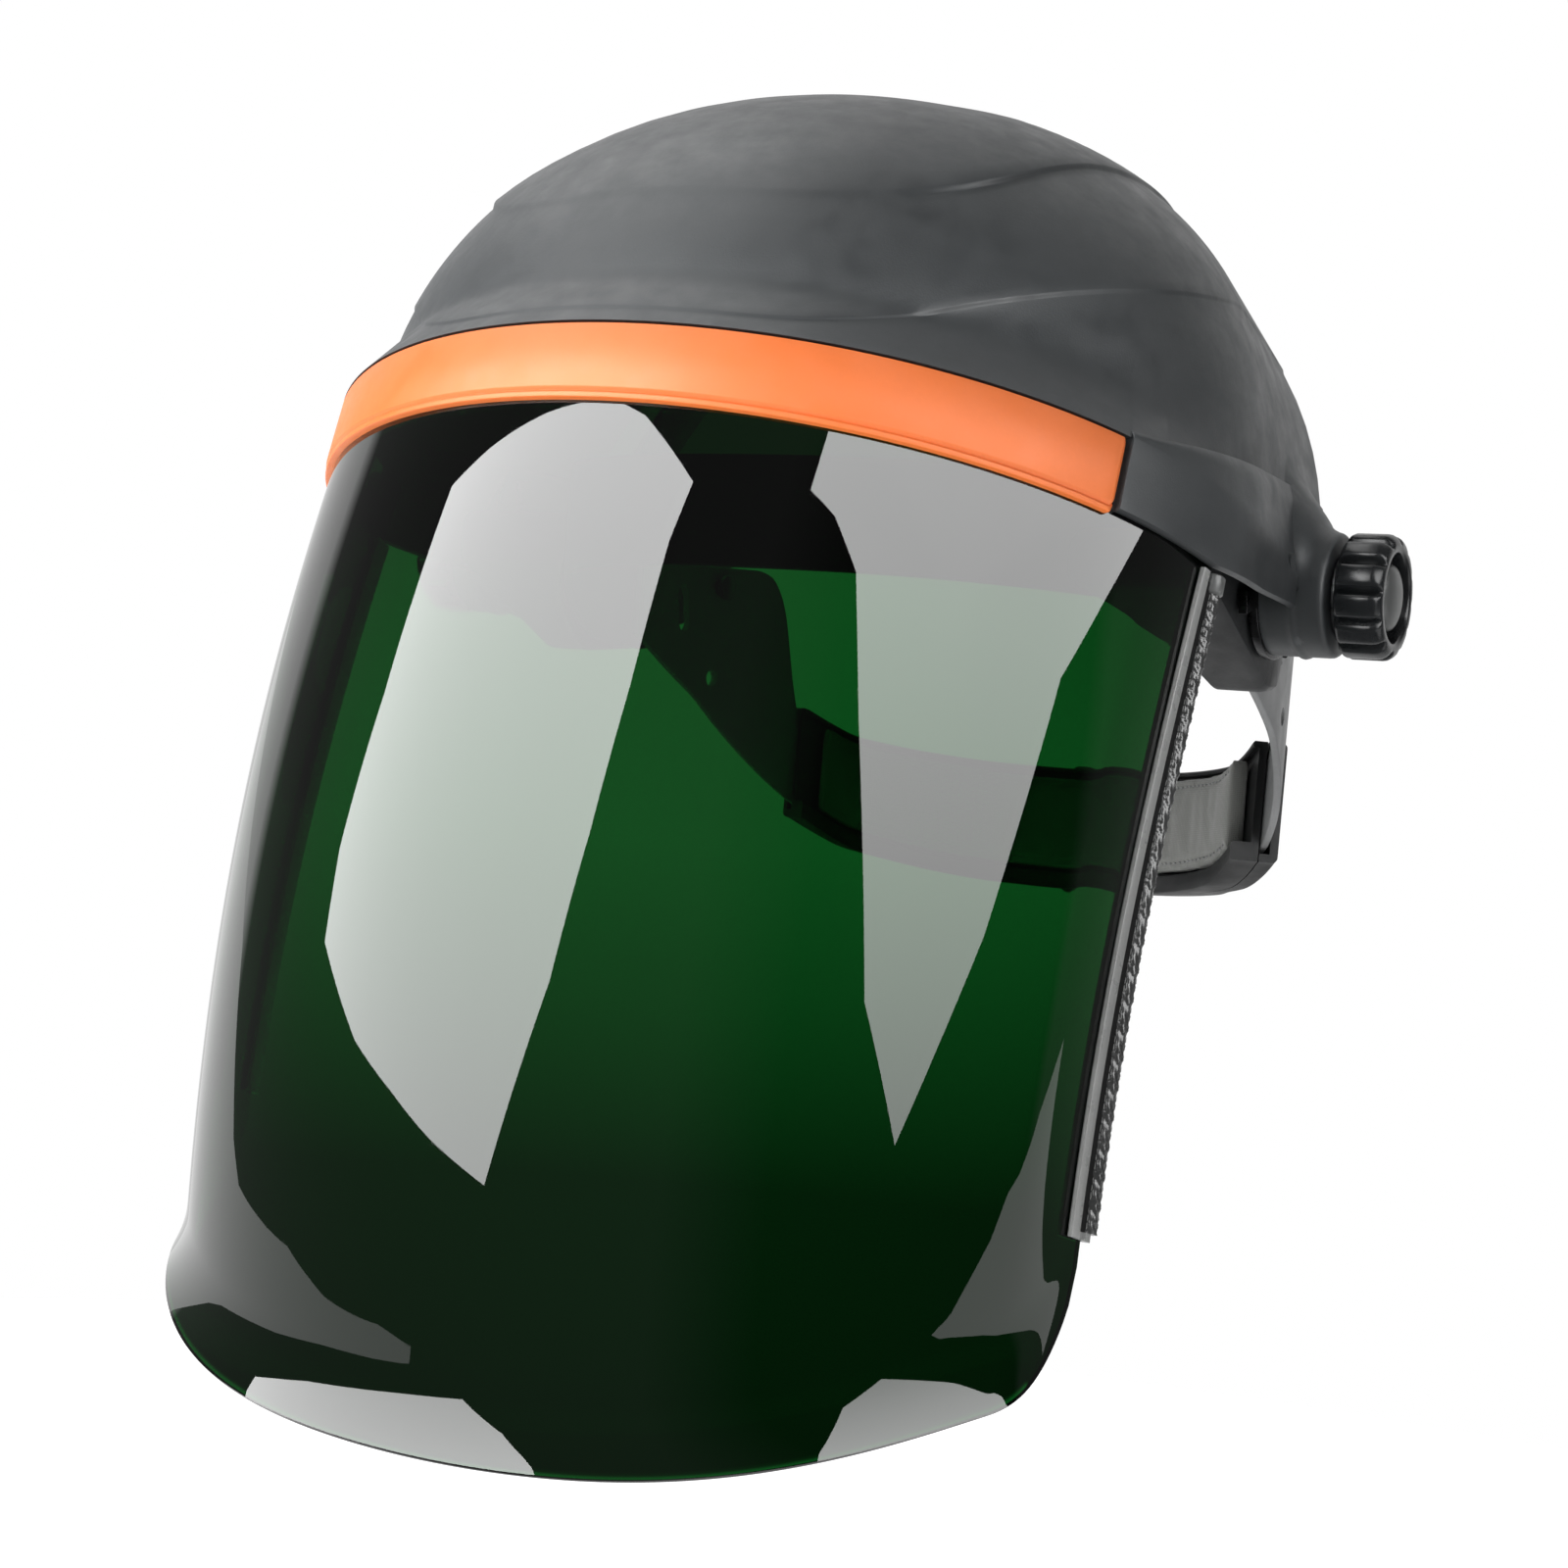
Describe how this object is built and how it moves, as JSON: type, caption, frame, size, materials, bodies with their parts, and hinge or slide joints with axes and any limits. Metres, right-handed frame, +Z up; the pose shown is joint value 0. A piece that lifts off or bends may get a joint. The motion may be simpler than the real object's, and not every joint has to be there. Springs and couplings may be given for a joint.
{
  "type": "face shield",
  "caption": "Tilting face shield: domed crown, brow band and wrap-round dark green visor on an adjustable ratchet headgear with clamp knobs at the temples.",
  "frame": {"origin": "midway between the two side pivots, on their common axis, inside the head space", "axes": "+Z up, -Y the way the wearer faces, +X the wearer's left"},
  "size_m": [0.262, 0.3298, 0.2916],
  "materials": {
    "crown_grey": "fine matte grain",
    "band_orange": "satin",
    "visor_green": "polished, see-through dark green",
    "trim_grey": "satin",
    "gear_black": "satin",
    "strap_grey": "satin",
    "pad_grey": "foam-backed cloth",
    "knob_black": "gloss",
    "steel": "plain",
    "rack_white": "satin"
  },
  "bodies": {
    "headgear": {"front_headband": "gear_black", "brow_pad": "pad_grey", "temple_housing_left": "gear_black", "temple_housing_right": "gear_black", "tilt_stop_left": "steel", "tilt_stop_right": "steel", "pivot_bolt_left": "steel", "pivot_bolt_right": "steel", "friction_washer_left": "gear_black", "friction_washer_right": "gear_black", "side_arm_left": "strap_grey", "side_arm_right": "strap_grey", "arm_peg_left": "knob_black", "arm_peg_right": "knob_black", "top_strap_left": "gear_black", "top_strap_right": "gear_black", "strap_peg": "knob_black"},
    "shield": {"crown_shell": "crown_grey", "brow_band": "band_orange", "visor": "visor_green", "visor_stud_1": "gear_black", "visor_stud_2": "gear_black", "visor_stud_3": "gear_black", "visor_stud_4": "gear_black", "visor_stud_5": "gear_black", "visor_edge_trim_left": "trim_grey", "visor_edge_trim_right": "trim_grey", "knob_washer_left": "steel", "knob_washer_right": "steel"},
    "knob_left": {"clamp_knob_left": "knob_black", "knob_cap_left": "trim_grey"},
    "knob_right": {"clamp_knob_right": "knob_black", "knob_cap_right": "trim_grey"},
    "nape": {"nape_cover": "gear_black", "nape_tray": "gear_black", "nape_pad": "pad_grey"},
    "ratchet": {"ratchet_knob": "knob_black", "ratchet_pinion": "rack_white", "click_disc": "gear_black"},
    "rack_left": {"size_rack_left": "rack_white"},
    "rack_right": {"size_rack_right": "rack_white"}
  },
  "joints": [
    {"name": "shield_tilt", "type": "hinge", "parent": "headgear", "child": "shield", "pos_m": [0, 0, 0], "axis": [-1, 0, 0], "range_deg": [-15, 45]},
    {"name": "knob_left_turn", "type": "hinge", "parent": "headgear", "child": "knob_left", "pos_m": [0.125, 0, 0], "axis": [1, 0, 0], "range_deg": [0, 270]},
    {"name": "knob_right_turn", "type": "hinge", "parent": "headgear", "child": "knob_right", "pos_m": [-0.125, 0, 0], "axis": [-1, 0, 0], "range_deg": [-270, 0]},
    {"name": "ratchet_turn", "type": "hinge", "parent": "nape", "child": "ratchet", "pos_m": [0, 0.15, -0.0575], "axis": [0, 1, 0], "range_deg": [-57.3, 57.3]},
    {"name": "nape_slide", "type": "slide", "parent": "headgear", "child": "nape", "axis": [0, 1, 0], "range_m": [-0.006, 0.006], "deforming": ["side_arm_left", "side_arm_right"]},
    {"name": "rack_left_slide", "type": "slide", "parent": "nape", "child": "rack_left", "axis": [1, 0, 0], "range_m": [-0.006, 0.006]},
    {"name": "rack_right_slide", "type": "slide", "parent": "nape", "child": "rack_right", "axis": [1, 0, 0], "range_m": [-0.006, 0.006]}
  ],
  "couplings": [
    {"joint": "ratchet_turn", "follows": "nape_slide", "rad_per_m": 166.67},
    {"joint": "rack_left_slide", "follows": "nape_slide", "ratio": 1},
    {"joint": "rack_right_slide", "follows": "nape_slide", "ratio": -1}
  ]
}
